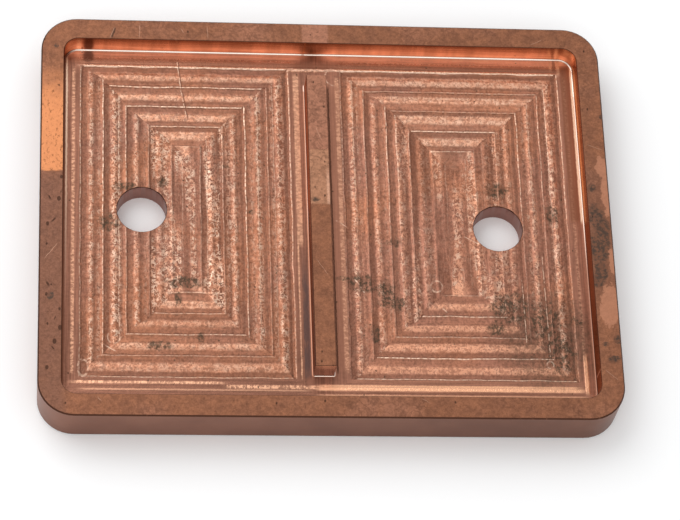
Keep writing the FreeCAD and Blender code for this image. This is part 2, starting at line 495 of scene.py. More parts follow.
def make_plate():
    """The whole plate as one watertight mesh, smooth but for its sharp edges."""
    surface = Surface()
    xs, ys = grid_lines()
    foot, sole = add_walls_and_rim(surface, xs, ys)
    rib_foot = add_rib(surface, xs, ys)
    mouths, port_soles = add_ports(surface)
    lines = (xs, ys)
    patches = port_patches(lines, mouths)
    patches += corner_patches(POCKET.inset(FOOT), POCKET_CORNER - FOOT, True, lines, foot)
    patches += corner_patches(RIB.inset(-FOOT), RIB_CORNER + FOOT, False, lines, rib_foot)
    add_floor(surface, xs, ys, patches)
    holes = [(ring, (x, y), radius) for ring, (x, y, radius) in zip(port_soles, PORTS)]
    surface.fill(sole, holes, "base", -1, FLAT_CELL_BASE)
    mesh = bpy.data.meshes.new("milled_plate")
    mesh.from_pydata(surface.points, [], surface.faces)
    mesh.polygons.foreach_set("material_index", surface.kinds)
    mesh.polygons.foreach_set("use_smooth", [True] * len(mesh.polygons))
    mesh.validate()
    mesh.set_sharp_from_angle(angle=math.radians(40))
    piece = bpy.data.objects.new("milled_plate", mesh)
    bpy.context.scene.collection.objects.link(piece)
    return piece


# ---------------- writing materials
def add_node(tree, kind, inputs=(), **settings):
    """A shader node with its inputs linked or set, by their names or numbers."""
    node = tree.nodes.new("ShaderNode" + kind)
    for name, value in settings.items():
        setattr(node, name, value)
    for name, value in dict(inputs).items():
        socket, value = node.inputs[name], getattr(value, "socket", value)
        if isinstance(value, bpy.types.NodeSocket):
            tree.links.new(value, socket)
        elif isinstance(value, tuple) and len(socket.default_value) == 4:
            socket.default_value = (*value, 1)
        else:
            socket.default_value = value
    return node


def operator(operation, swapped=False):
    """A method that writes one math node. A swapped one puts the other number first."""

    def method(self, other=None):
        return self.paint.math(operation, *((other, self) if swapped else (self, other)))

    return method


class Field:
    """A number that varies over a surface. Arithmetic on it writes shader nodes."""

    def __init__(self, paint, socket):
        self.paint, self.socket = paint, socket

    __add__ = __radd__ = operator("ADD")
    __sub__, __rsub__ = operator("SUBTRACT"), operator("SUBTRACT", swapped=True)
    __mul__, __truediv__ = operator("MULTIPLY"), operator("DIVIDE")
    min, max, over = operator("MINIMUM"), operator("MAXIMUM"), operator("GREATER_THAN")
    root, abs, floor = operator("SQRT"), operator("ABSOLUTE"), operator("FLOOR")

    def ease(self, start, end):
        """0 at start and 1 at end, with a smooth step between."""
        return self.paint.ease(self, start, end)

    def about(self, centre, inner, outer):
        """1 within the inner distance of a centre, and 0 beyond the outer one."""
        return 1 - (self - centre).abs().ease(inner, outer)


def most(fields):
    """The largest of several fields."""
    return reduce(Field.max, fields)


class Paint:
    """One material, written from formulas over positions in millimetres."""

    def __init__(self, name):
        self.material = bpy.data.materials.new(name)
        self.material.use_nodes = True
        self.tree = self.material.node_tree
        self.tree.nodes.clear()
        place = self.node("TexCoord").outputs["Object"]
        self.x, self.y, self.z = self.split("XYZ", self.shade(place, 1 / MM))
        self.colour = None

    def node(self, kind, inputs=(), **settings):
        return add_node(self.tree, kind, inputs, **settings)

    def split(self, kind, socket):
        """The three numbers of a place or of a colour."""
        node = self.node("Separate" + kind, {0: socket})
        return [Field(self, output) for output in node.outputs]

    def math(self, operation, first, second=None):
        inputs = {0: first} if second is None else {0: first, 1: second}
        return Field(self, self.node("Math", inputs, operation=operation).outputs[0])

    def ease(self, value, start, end):
        inputs = {"Value": value, "From Min": start, "From Max": end}
        node = self.node("MapRange", inputs, interpolation_type="SMOOTHSTEP")
        return Field(self, node.outputs["Result"])

    def vector(self, *numbers):
        return self.node("CombineXYZ", enumerate(numbers)).outputs[0]

    def here(self, scale_x, scale_y=None, scale_z=None):
        """The place in millimetres, each axis scaled."""
        scale_y = scale_x if scale_y is None else scale_y
        scale_z = scale_x if scale_z is None else scale_z
        return self.vector(self.x * scale_x, self.y * scale_y, self.z * scale_z)

    def noise(self, place, detail=2, roughness=0.5, distortion=0):
        """Smooth noise, 0 to 1, with features about as large as one unit of the place."""
        inputs = {"Vector": place, "Scale": 1, "Detail": detail}
        inputs |= {"Roughness": roughness, "Distortion": distortion}
        return Field(self, self.node("TexNoise", inputs).outputs["Fac"])

    def grain(self, scale, detail=2, roughness=0.5):
        """Noise over the plate, with this many features a millimetre, in all or in each axis."""
        scales = scale if isinstance(scale, tuple) else (scale,)
        return self.noise(self.here(*scales), detail, roughness)

    def curls(self, place, width):
        """1 along fine curling lines, like the burrs that a worn cutter raises."""
        level = self.noise(place, roughness=0.6, distortion=0.5)
        return level.about(0.5, width * 0.3, width)

    def cells(self, place):
        """Distance to the nearest of scattered points, one a unit, and that point's dice."""
        found = self.node("TexVoronoi", {"Vector": place, "Scale": 1}).outputs
        return Field(self, found["Distance"]), self.split("Color", found["Color"])

    def dice(self, place):
        """Three random numbers that belong to this exact place."""
        found = self.node("TexWhiteNoise", {"Vector": place}).outputs
        return self.split("Color", found["Color"])

    def pick(self, amount, first, second):
        """A number between first, where the amount is 0, and second, where it is 1."""
        return Field(self, self.node("Mix", {0: amount, 2: first, 3: second}).outputs[0])

    def mix(self, amount, first, second):
        """A colour between first and second."""
        inputs = {0: amount, 6: first, 7: second}
        return self.node("Mix", inputs, data_type="RGBA").outputs[2]

    def shade(self, colour, factor):
        """A colour, or a place, times a number."""
        inputs = {0: colour, "Scale": factor}
        return self.node("VectorMath", inputs, operation="SCALE").outputs[0]

    def coat(self, amount, colour):
        """Lays a colour over what is painted so far, as thickly as the amount."""
        self.colour = self.mix(amount, self.colour, colour)

    def dim(self, factor):
        """Makes what is painted so far darker or lighter."""
        self.colour = self.shade(self.colour, factor)

    def radius(self, x, y, reach_x, reach_y):
        """Distance from the middle of an ellipse, 1 on its outline."""
        across, along = (self.x - x) / reach_x, (self.y - y) / reach_y
        return (across * across + along * along).root()

    def blob(self, x, y, reach_x, reach_y, ragged):
        """1 inside an ellipse and 0 outside, its edge made ragged by a field about 0."""
        return 1 - (self.radius(x, y, reach_x, reach_y) + ragged).ease(0.6, 1.1)

    def blobs(self, places, ragged):
        return most([self.blob(*place, ragged) for place in places])

    def loop(self, x, y, reach_x, reach_y, width):
        """1 along the outline of an ellipse, as where the cutter plunged or turned."""
        distance = (self.radius(x, y, reach_x, reach_y) - 1).abs() * min(reach_x, reach_y)
        return 1 - distance.ease(width * 0.4, width)

    def scratch(self, x1, y1, x2, y2, width, wobble):
        """1 along a straight scratch that fades at its ends."""
        length = math.hypot(x2 - x1, y2 - y1)
        ux, uy = (x2 - x1) / length, (y2 - y1) / length
        along = (self.x - x1) * ux + (self.y - y1) * uy
        across = ((self.x - x1) * uy - (self.y - y1) * ux + wobble).abs()
        ends = along.ease(-0.2, 0.8) * (1 - along.ease(length - 0.8, length + 0.2))
        return (1 - across.ease(width * 0.3, width)) * ends

    def scratches(self, places, wobble):
        return most([self.scratch(*place, wobble) for place in places])

    def finish(self, roughness, height, glancing=(1, 1, 1)):
        """Ends the material: height is the fine relief, in millimetres, and glancing tints
        what it mirrors at low angles."""
        self.dim(STUDIO_TONE)
        bump = self.node("Bump", {"Strength": 1, "Distance": MM, "Height": height})
        shader = self.node("BsdfPrincipled", {
            "Base Color": self.colour, "Metallic": 1, "Specular Tint": glancing,
            "Roughness": roughness, "Normal": bump.outputs["Normal"],
        })
        self.node("OutputMaterial", {"Surface": shader.outputs[0]})
        return self.material


# ---------------- the copper's colours
# They are as the photo shows them. The white backdrop and the lamps that the metal mirrors
# add up to a quarter more than white, and STUDIO_TONE takes that off again.
STUDIO_TONE = 0.8
BROWN = (0.455, 0.183, 0.103)
MAUVE = (0.375, 0.163, 0.108)
CLEAN = (0.55, 0.25, 0.16)
NEAR_CLEAN = (0.44, 0.195, 0.125)
FILMED = (0.34, 0.15, 0.098)
DARK = (0.16, 0.062, 0.038)
ORANGE = (0.85, 0.41, 0.255)
PALE = (1, 0.7, 0.52)
GLINT = (0.9, 0.48, 0.3)
SOOT = (0.055, 0.045, 0.03)
OXIDE = (0.325, 0.137, 0.075)
OXIDE_DARK = (0.245, 0.104, 0.06)
OXIDE_DEEP = (0.13, 0.055, 0.035)
OXIDE_GREY = (0.205, 0.1, 0.07)
OXIDE_PINK = (0.4, 0.18, 0.113)
RUBBED_RIB = (0.47, 0.235, 0.14)
POLISHED = (0.59, 0.232, 0.101)
FLAKED = (0.52, 0.235, 0.14)
SCRATCHED = (0.55, 0.31, 0.21)
RIM_SOOT = (0.085, 0.058, 0.045)
PIT = (0.06, 0.03, 0.02)


# ---------------- chamber floors
# A stain is the centre and reach of an ellipse, in x and y. A scratch is its start, its end
# and its width.
LEFT_STAINS = [
    (-37, -17.2, 5.5, 1.9), (-44, -35.2, 3.6, 1.6), (-33.4, -32.8, 1.1, 1.6),
    (-39, -22, 1, 2.4), (-52.5, 10.5, 4, 1.4), (-43, 11.8, 1.6, 1.6),
    (-57, 0, 3, 3), (-26, 17, 1, 0.7), (-19.5, 3.5, 1, 0.8),
]
RIGHT_STAINS = [
    (9, -17, 4, 3.2), (15, -20, 2.8, 4.6), (12, -31.5, 1.6, 2.6),
    (18, -22.5, 2.6, 2.4), (4, -15.6, 2, 0.8),
    (48, -23.5, 6.5, 5), (57, -27, 5, 6), (60, -36, 5, 7),
    (44, -29.5, 3, 2.4), (65, -27, 1.8, 1.6), (46, 11, 3.4, 2.6),
    (18, -5, 2.4, 1.2), (60.5, 4, 2, 3),
]
# The long scratch, drawn bright with a painted shadow beside it.
SHADOWED_SCRATCHES = [
    (-38.7, 48.4, -37.8, 40, 0.22), (-37.8, 40, -36.2, 30.6, 0.22),
]
FLOOR_SCRATCHES = SHADOWED_SCRATCHES + [
    (2.6, 1.4, 5.6, -0.6, 0.2), (7, -15.5, 9.6, -19.8, 0.25), (51.2, -15, 51.4, -34, 0.14),
    (57, -8, 57.4, -38, 0.14), (29, -23, 31, -25, 0.25),
    (36, -2.5, 40.6, -5, 0.14), (-58.5, -35, -55, -37, 0.2),
]
# Rings where the cutter plunged: centre, reach and line width. A later pass cut one of them.
RINGS = [
    (-63.5, -41.6, 1.3, 2.3, 0.3), (-55.6, -33, 1.6, 1.8, 0.25), (28.5, -17.5, 1.5, 1.6, 0.3),
    (57.2, -39.6, 0.9, 1, 0.25),
]
CUT_RING = (3.6, 44.6, 2.5, 2.6, 0.28)


class Lanes:
    """Where a point of the floor lies in the nested lanes."""

    def __init__(self, paint):
        sway = (paint.grain(0.14, 1) - 0.5) * 0.7
        self.jitter = paint.grain(1.2, 3, 0.65) - 0.5
        x, y = paint.x + sway, paint.y - sway
        right = paint.x.over(MIDDLE)
        left_field, right_field = FIELDS["left"], FIELDS["right"]
        to_left = x - paint.pick(right, left_field.left, right_field.left)
        to_right = paint.pick(right, left_field.right, right_field.right) - x
        to_near, to_far = y - left_field.near, left_field.far - y
        beside, along = to_left.min(to_right), to_near.min(to_far)
        overrun = 0.5 + (paint.grain(0.09, 1) - 0.5) * 6
        self.along_x = (beside - overrun * beside.over(0)).over(along)
        depth = paint.pick(self.along_x, beside, along).min(beside.max(0) + along.max(0))
        depth = depth * beside.over(0) * along.over(0) + beside.min(along).min(0)
        self.level = (beside - along).ease(-3, 3)
        far_side, right_side = to_near.over(to_far), to_left.over(to_right)
        self.side = paint.pick(self.along_x, right_side, far_side + 2) + right * 4
        self.inside = depth.over(0)
        self.lane = (depth / PITCH).floor().min(LANES).max(-1)
        self.across = depth - self.lane * PITCH
        self.run = paint.pick(self.along_x, paint.y, paint.x)
        self.dice = paint.dice(paint.vector(self.lane + 0.5, self.side + 0.5, 1.5))
        self.slot = self.lane.over(LANES - 0.5)
        self.middle = (depth.ease(13, 19) * (1 - self.along_x)).max(self.slot)

    def strip(self, centre, half_width, softness):
        """1 along a strip at this distance from each lane's outer cusp, with ragged edges."""
        reach = (self.across + self.jitter * 0.8 - centre).abs() - half_width
        return (1 - reach.ease(-softness, softness)) * self.inside


def evenness(paint):
    """The right chamber's bare metal is a little brighter, the left one's near end darker."""
    on_right = paint.x.over(MIDDLE)
    brighter = on_right * paint.y.ease(-34, -12)
    darker = (1 - on_right) * paint.y.ease(-14, -34)
    return 1 + brighter * 0.12 - darker * 0.12


def paint_ground(paint, lanes):
    """The bare floor: slow changes of tone, streaks along the lanes and fine mottling."""
    mottle = paint.grain(1.3, 4, 0.7)
    blotch = paint.grain(0.4, 3, 0.6)
    along_lane = paint.vector(lanes.run * 1.45, lanes.across * 0.7, lanes.side * 3)
    fur = paint.noise(along_lane, 3, 0.65)
    across_lane = paint.vector(lanes.across * 1.7, lanes.run * 0.12, lanes.side * 7)
    streak = paint.noise(across_lane, 3, 0.6)
    paint.colour = paint.mix(paint.grain(0.055, 3).ease(0.35, 0.65), BROWN, MAUVE)
    paint.dim(evenness(paint))
    tone = 0.37 + mottle.ease(0.33, 0.67) * 0.4 + streak.ease(0.3, 0.7) * 0.26
    paint.dim(tone + blotch.ease(0.3, 0.7) * 0.22 + fur.ease(0.34, 0.66) * 0.16)
    return mottle, fur, streak


def lane_tones(paint, lanes):
    """How warm the burrs' painted highlight is, and where the near left rows' painted highlights are
    weaker.
    """
    on_right = paint.x.over(MIDDLE)
    far_rows = lanes.along_x * paint.y.over(0)
    near_left = (1 - on_right) * lanes.along_x * paint.y.ease(-18, -34)
    warmth = paint.grain(0.5).ease(0.35, 0.65) * (1 - lanes.along_x * 0.6)
    warmth = warmth - lanes.along_x * 0.05 - on_right * (1 - far_rows * 1.6) * 0.25
    return warmth.max(0), on_right, near_left


def paint_burrs(paint, lanes, fur):
    """The flats beside each cusp, darkened as painted shade, and the burred bands with a painted
    highlight.
    """
    first, second, third = lanes.dice
    along_x, upright = lanes.along_x, 1 - lanes.along_x
    # Painted shade on the flats beside each cusp.
    flat_shade = lanes.strip(1.25, 0.55, 0.4) * (0.35 + first * 0.45 - along_x * 0.15)
    flat_shade = flat_shade.max(lanes.strip(4.7, 0.5, 0.5) * (second.ease(0.3, 0.7) * 0.6))
    paint.coat(flat_shade * (1 - lanes.slot), DARK)

    curls = paint.curls(paint.here(0.9, 0.8), 0.09)
    burrs = (fur * 0.62 + curls * 0.3 + lanes.jitter * 0.35).ease(0.28, 0.58)
    burrs = burrs * (1 - along_x * 0.38) + along_x * 0.34
    band = lanes.strip(3 + (second - 0.5) * 0.8, 0.5 + first * 0.35 + along_x * 0.35, 0.45)
    other = lanes.strip(5.3 - third * 1.2, 0.3, 0.5) * upright * (0.3 + second * 0.5)
    beaten = band.max(other) * (1 - lanes.slot)
    passes = paint.grain((0.36, 0.03), 1)
    paint.coat(passes.ease(0.5, 0.36) * lanes.middle * 0.45, DARK)
    beaten = (beaten * (1 - lanes.middle * 0.5)).max(passes.ease(0.45, 0.6) * lanes.middle)
    # Painted highlight along the burred bands, orange to pale.
    painted_highlight = burrs * (0.1 + beaten * 0.9) * (0.62 + third * 0.33 + along_x * 0.42)
    warmth, on_right, near_left = lane_tones(paint, lanes)
    painted_highlight = painted_highlight * (1 - on_right * upright * 0.12) * (1 - near_left * 0.24)
    paint.coat(lanes.jitter.ease(-0.13, -0.22) * lanes.inside * 0.45, DARK)
    paint.coat(painted_highlight * 0.85, paint.mix(warmth, ORANGE, PALE))
    return painted_highlight, curls, on_right, near_left


def paint_cusps(paint, lanes, streak, on_right, near_left):
    """The seams along the lanes, and the thin cusps painted bright as highlights, with painted
    shadows beside them.
    """
    first, second, third = lanes.dice
    upright = 1 - lanes.along_x
    paint.coat(streak.about(0.5, 0.004, 0.022) * upright * lanes.inside * 0.45, DARK)
    dots = paint.noise(paint.vector(lanes.run, lanes.side * 5, lanes.lane), 3)
    place = lanes.across + lanes.jitter * 0.22
    cusp = place.about(0.15, 0.06, 0.24) * (0.25 + second * 0.75)
    ghost = (place - 2.2 - first * 2.4).about(0, 0.05, 0.2) * upright * third
    cusp = cusp.max(ghost) * lanes.inside * (1 - lanes.middle * 0.5)
    outermost = (1 - lanes.lane.over(0.5)) * lanes.along_x * (0.2 + paint.y.over(0) * 0.8)
    cusp = cusp * (0.15 + lanes.along_x * 0.25 + outermost * 0.4 + dots.ease(0.4, 0.58) * 0.85)
    fading = paint.y.ease(24, -16) * (0.45 + on_right * 0.2)
    cusp = cusp * (1 - (fading + on_right * 0.3).min(0.8) * upright)
    cusp = cusp * (1 - near_left * 0.5)
    # Painted shadow beside each cusp, then the cusp itself painted pale as a highlight.
    shadow = place.about(0.5, 0.08, 0.24) * lanes.inside
    shadow = shadow * (1 - lanes.slot) * (1 - outermost * 0.6)
    paint.coat(shadow * dots.ease(0.3, 0.6) * 0.7, DARK)
    paint.coat(cusp, PALE)
    return cusp


class Border:
    """The smooth lane along the walls, with the few passes that it has, painted bright as highlights.
    """

    def __init__(self, paint, lanes, fur):
        self.paint, self.lanes, self.fur = paint, lanes, fur
        self.outside = 1 - lanes.inside
        self.tick = fur.ease(0.42, 0.6)
        self.ragged = lanes.jitter * 0.35
        place = paint.vector(lanes.across * 2.2, lanes.run * 0.06, lanes.side)
        self.drawn = paint.noise(place, 3)
        self.under_far_wall = paint.y.ease(48.4, 50.6)

    def band(self, across, along, fade, centre, half_width, start, end):
        """1 along a straight band with ragged edges, for passes of the cutter and for painted
        highlights, shade and reflections.
        """
        reach = (across + self.ragged - centre).abs() - half_width
        ends = along.ease(start - fade, start + fade) * (1 - along.ease(end - fade, end + fade))
        return (1 - reach.ease(-0.2, 0.2)) * ends

    def upright(self, *size):
        return self.band(self.paint.x, self.paint.y, 1, *size)

    def level(self, *size):
        return self.band(self.paint.y, self.paint.x, 2, *size)

    def paint_ground(self):
        """Clean copper, filmed along the left and right walls and the near rib."""
        paint, x, y = self.paint, self.paint.x, self.paint.y
        level = self.lanes.level
        near_tone = paint.mix(x.ease(4, -12), NEAR_CLEAN, FILMED)
        clean = paint.mix(level, FILMED, paint.mix(y.ease(10, -10), CLEAN, near_tone))
        # Painted light: the strip under the far wall is painted paler and brighter.
        clean = paint.mix(self.under_far_wall * level, clean, (1, 0.55, 0.4))
        lifted = self.under_far_wall * level * 0.3 + x.ease(40, 60) * (1 - level) * 0.12
        tone = 0.62 + lifted + self.drawn.ease(0.3, 0.7) * 0.34 + self.fur.ease(0.3, 0.7) * 0.14
        paint.coat(self.outside, paint.shade(clean, tone * evenness(paint)))

    def paint_passes(self):
        """The passes, painted bright as highlights. The near ones are the broadest."""
        tick, drawn, upright, level = self.tick, self.drawn, self.upright, self.level
        near_pass = most([
            level(-46.95, 0.5, -3, 65) * (0.75 + drawn * 0.25),
            level(-46.15, 0.3, -3, 64) * (0.35 + drawn * 0.5),
            level(-48.75, 0.16, -3, 66) * 0.4,
            upright(66.5, 0.5, -47.6, -37) * (0.4 + drawn * 0.4),
        ])
        painted_highlight = most([
            upright(-66.3, 0.4, -43, 46) * (0.15 + tick * 0.6),
            upright(-6.9, 0.75, -6, 45) * (0.35 + tick * 0.4),
            upright(-7.5, 0.16, -44, -3) * (0.5 + tick * 0.5),
            upright(4.2, 0.55, -42, 44) * (0.2 + tick * 0.7),
            near_pass,
            level(-46.6, 0.5, -27, 0) * (0.2 + tick * 0.8),
            level(46.4, 0.4, -9, 1) * tick,
            upright(66.3, 0.35, -38, 46) * tick * 0.4,
            level(-45.6, 0.35, -66, -28) * (0.4 + tick * 0.6),
            level(-47.55, 0.2, -64, -6) * 0.5,
        ])
        near_pass = near_pass * self.outside
        # Painted highlights along the passes.
        self.paint.coat(painted_highlight * self.outside, GLINT)
        self.paint.coat(near_pass, (1, 0.51, 0.3))
        return near_pass

    def paint_mirrored(self):
        """Painted reflections and highlights on the smooth strips beside the walls, beside the rib
        and in the far right corner.
        """
        paint, upright = self.paint, self.upright
        paint.coat(upright(66.7, 1.3, 2, 49) * 0.7, (0.27, 0.105, 0.058))
        left_gleam = upright(-68.1, 0.22, -30, 49) * paint.y.ease(-30, 45)
        paint.coat(upright(68.35, 0.25, 2, 49).max(left_gleam * 0.8), (1, 0.72, 0.52))
        rib_gap = upright(2.8, 2, -42, 43) * self.outside
        paint.coat(rib_gap * (0.25 + self.drawn * 0.4), (0.37, 0.16, 0.1))
        paint.coat(upright(1.75, 0.2, -42.5, 41.5) * 0.9, (0.05, 0.02, 0.012))
        corner = upright(62.9, 0.35, 48, 52).max(upright(65, 0.4, 47, 52))
        paint.coat(corner * 0.6, (1, 0.6, 0.4))
        paint.coat(upright(63.9, 0.4, 47.4, 52) * 0.6, (0.22, 0.09, 0.055))
        mirror = upright(-5.95, 0.8, -44, -7) * (0.25 + paint.y.ease(-9, -19) * 0.75)
        cloudy = paint.grain((0.8, 0.22), 3).ease(0.3, 0.55)
        paint.coat(mirror * (0.35 + cloudy * 0.6), (0.125, 0.072, 0.062))
        return mirror

    def paint_far_rows(self):
        """The film, the burred row under the far wall painted bright as a highlight, and the dark
        lines of the border, painted shade and a dark reflection in the far left corner.
        """
        paint, level = self.paint, self.level
        paint.coat(level(47.9, 0.6, -66, 66) * self.outside * 0.65, (0.27, 0.115, 0.07))
        burred = level(46.7, 0.35, -64, 64) * self.outside * (0.45 + self.tick * 0.55)
        paint.coat(burred, (1, 0.66, 0.48))
        # Painted shade: dark lines along the border, the dark strip by the left wall and a dark
        # reflection in the far left corner.
        painted_shade = most([
            level(47.35, 0.14, -66, 64) * 0.6,
            level(-48.1, 0.16, -4, 66) * 0.6,
            (1 - paint.x.ease(-68.5, -68.3)) * 0.8,
            paint.blob(-62.4, 49.4, 1.7, 2.2, self.ragged * 0.5) * 0.65,
        ])
        paint.coat(painted_shade, DARK)
        return burred


def paint_marks(paint, lanes):
    """Stains, pits, scratches with a painted shadow beside the long one, and the rings where the
    cutter plunged.
    """
    ragged = (paint.grain(0.7, 4, 0.7) - 0.5) * 1.6
    stain = paint.blobs(LEFT_STAINS + RIGHT_STAINS, ragged)
    speckle = paint.grain((1, 0.7), 4, 0.75).ease(0.46, 0.56)
    haze = paint.blob(57, -33, 14, 15, ragged * 0.7) * (0.24 + speckle * 0.26)
    paint.coat((stain * (0.3 + speckle * 0.52)).max(haze), SOOT)
    distance, dice = paint.cells(paint.here(0.33))
    pit = (1 - distance.ease(0.03, 0.11)) * dice[0].over(0.45)
    fleck = paint.grain(2.4, 3, 0.7).ease(0.66, 0.74)
    paint.coat((pit * 0.75).max(fleck * 0.5), SOOT)
    rings = most([paint.loop(*ring) for ring in RINGS])
    rings = rings.max(paint.loop(*CUT_RING) * (1 - paint.x.ease(2.8, 3.8)))
    wobble = lanes.jitter * 0.4
    broken = paint.grain(0.9).ease(0.36, 0.56)
    line = paint.scratches(FLOOR_SCRATCHES, wobble).max(rings * 0.6) * broken
    paint.coat(line * 0.55, PALE)
    # Painted shadow beside the long scratch.
    paint.coat(paint.scratches(SHADOWED_SCRATCHES, wobble + 0.3) * 0.8, DARK)
    return pit, line


def paint_floor():
    """The milled floors of both chambers."""
    paint = Paint("milled_floor")
    lanes = Lanes(paint)
    mottle, fur, streak = paint_ground(paint, lanes)
    painted_highlight, curls, on_right, near_left = paint_burrs(paint, lanes, fur)
    cusp = paint_cusps(paint, lanes, streak, on_right, near_left)
    border = Border(paint, lanes, fur)
    border.paint_ground()
    near_pass = border.paint_passes()
    mirror = border.paint_mirrored()
    burred = near_pass.max(border.paint_far_rows())
    pit, scratch = paint_marks(paint, lanes)
    smooth = lanes.level * (1 - lanes.inside) * (0.18 - border.under_far_wall * 0.13)
    rough = 0.36 - smooth + mottle * 0.12 - cusp * 0.1 - mirror * 0.12
    relief = mottle * 0.05 + fur * 0.08 + streak * 0.05 + painted_highlight * 0.05 + curls * 0.02
    relief = relief * (0.12 + lanes.inside * (0.88 - lanes.along_x * 0.34) + burred * 0.6)
    return paint.finish(rough, relief + burred * 0.05 - pit * 0.06 - scratch * 0.02)


# ---------------- the oxidised top
RIGHT_POLISH = [
    (72.9, -25.2, 2.9, 6.6), (71.8, -27, 2.2, 5), (74.5, -12.5, 1.3, 4.6),
    (74.6, 8, 2, 9), (73.5, 15, 1.8, 3.6),
]
RIM_STAINS = [
    (70.4, 9, 1.2, 1.4), (71, 0.5, 2.4, 4), (71.4, -8.5, 3.2, 5.5), (71, -15.5, 2.2, 4),
    (74.1, -34.9, 1.3, 1.4), (70.9, -36.3, 1, 0.9), (72.9, -40.5, 1.8, 1.2),
    (74.6, 30.5, 0.7, 0.9), (72.6, -3.6, 2, 5), (70.2, -18.4, 1.6, 2.2),
    (-72, -24.5, 1, 1.2), (-71, 49, 0.7, 0.8), (-3.2, 4.4, 1.5, 0.8),
]
RIM_SCRATCHES = [
    (-55.5, 55.1, -56.8, 51.6, 0.35), (-48.9, 56, -49.1, 51.8, 0.15),
    (-31, 56, -30.6, 52, 0.12), (-38, 55.2, -37, 53.6, 0.16),
    (60, 54, 56.5, 52.3, 0.12), (70, 22, 74.2, 20.4, 0.12),
    (-60, -52.2, -58.9, -53.6, 0.16), (22, -52, 24.5, -53.4, 0.1),
    (-73.6, -14, -70.2, -9.5, 0.14), (-2.6, 26, -1.2, 22, 0.12),
    (-3.6, -13, -0.6, -17.5, 0.1), (70.2, -43.5, 73.4, -46.5, 0.12),
]
RIM_GOUGES = [
    (-55.2, 55.1, -56.5, 51.6, 0.35), (-72.8, 4.5, -71.9, 2.9, 0.3),
    (-70.6, -2, -71.9, -3.6, 0.28), (-73, -20.2, -72.2, -22, 0.4),
    (-70.4, -30, -70.9, -31.4, 0.25), (-71.6, -38.5, -70.6, -39.6, 0.22),
    (-3.4, 33.6, -3, 32.9, 0.35), (-2.4, 31.4, -2.1, 30.6, 0.3), (-3, 29.6, -2.2, 29.3, 0.3),
    (-0.3, 33.4, -0.1, 32.6, 0.3), (-1.6, 7.6, -1.4, 7, 0.35), (0.1, -7.2, 0.3, -7.8, 0.4),
]


def paint_oxide(paint, cloud, fine, grain):
    """The oxide's clouds: pinker and rubbed on the rib, greyer on the left and right."""
    x, y = paint.x, paint.y
    broad = paint.grain(0.05, 3)
    paint.colour = paint.mix(cloud.ease(0.32, 0.68), OXIDE_DARK, OXIDE)
    on_rib = (x - MIDDLE).abs().ease(4, 3)
    far_half = on_rib * y.ease(18.9, 19.3)
    paint.coat((broad.ease(0.5, 0.75) * 0.5).max(far_half), OXIDE_PINK)
    rubbed_rib = on_rib * y.ease(2.7, 3.3) * y.ease(19.3, 18.9)
    paint.coat(rubbed_rib * 0.8, RUBBED_RIB)
    # Painted highlight along the rib's right edge.
    rib_edge = x.about(0.25, 0.15, 0.6) * y.ease(2.7, 3.3) * y.ease(16, 9)
    paint.coat(rib_edge * 0.5, (0.8, 0.46, 0.32))
    tide = paint.curls(paint.here(0.3), 0.06) * broad.ease(0.45, 0.6)
    paint.coat(tide * 0.35, OXIDE_DEEP)
    left_low = (1 - x.ease(-70, -66)) * y.ease(14, 8)
    right_mid = x.ease(66, 70) * y.about(-4, 16, 24)
    paint.coat((left_low * 0.65).max(right_mid * 0.3), OXIDE_GREY)
    lighter = 0.76 + x.ease(66, 70) * 0.07
    paint.dim(lighter + fine.ease(0.34, 0.66) * 0.28 + grain.ease(0.34, 0.66) * 0.2)
    return on_rib, left_low


def paint_bright_places(paint, cloud, fine, grain, ragged):
    """Dark veins, and the places rubbed or flaked back to bright copper."""
    vein = paint.grain((1.5, 0.9), 4, 0.7)
    paint.coat(vein.ease(0.6, 0.68) * 0.5, OXIDE_DEEP)
    place = paint.y + ragged * 2.2
    rubbed = place.ease(11.4, 11.9) * (1 - (place + cloud * 12).ease(36, 52))
    rubbed = rubbed * (1 - paint.x.ease(-69, -68))
    tone = 0.84 + grain * 0.2 + fine.ease(0.3, 0.6) * 0.14 - vein.ease(0.56, 0.62) * 0.5
    paint.coat(rubbed, paint.shade(POLISHED, tone))
    flaked = paint.blobs(RIGHT_POLISH, ragged + (fine - 0.5) * 1.1).ease(0.35, 0.6)
    flaked = flaked * (1 - grain.ease(0.6, 0.68) * 0.7)
    paint.coat(flaked * 0.85, paint.shade(FLAKED, 0.75 + fine * 0.5))
    return rubbed, flaked


def paint_rim():
    """Brown oxide, rubbed bright in places, with stains, pits and scratches."""
    paint = Paint("oxidised_top")
    cloud = paint.grain(0.33, 5, 0.6)
    fine = paint.grain(1.1, 4, 0.7)
    grain = paint.grain(2.4, 3, 0.6)
    ragged = (paint.grain(0.5, 4, 0.65) - 0.5) * 0.9
    on_rib, left_low = paint_oxide(paint, cloud, fine, grain)
    rubbed, flaked = paint_bright_places(paint, cloud, fine, grain, ragged)
    stain = paint.blobs(RIM_STAINS, ragged * 1.4)
    paint.coat(stain * (0.25 + fine.ease(0.4, 0.58) * 0.7) * (1 - flaked), RIM_SOOT)
    distance, dice = paint.cells(paint.here(0.42, 0.27))
    reach = distance - dice[1] * (0.06 + left_low * 0.08)
    often = most([left_low * 0.6, stain * 0.6, rubbed * 0.35, on_rib * 0.2])
    pit = (1 - reach.ease(0.03, 0.09)) * dice[0].over(0.74 - often)
    paint.coat(pit * 0.8, PIT)
    wobble = (paint.grain(0.8) - 0.5) * 0.5
    scratch = paint.scratches(RIM_SCRATCHES, wobble)
    paint.coat(scratch * 0.55, SCRATCHED)
    gouge = paint.scratches(RIM_GOUGES, wobble)
    paint.coat(gouge * 0.85, PIT)
    height = cloud * 0.02 + grain * 0.01 - pit * 0.08
    height = height - scratch * 0.03 - gouge * 0.05 + rubbed * 0.01
    return paint.finish(0.42 + cloud * 0.16 - rubbed * 0.12, height)


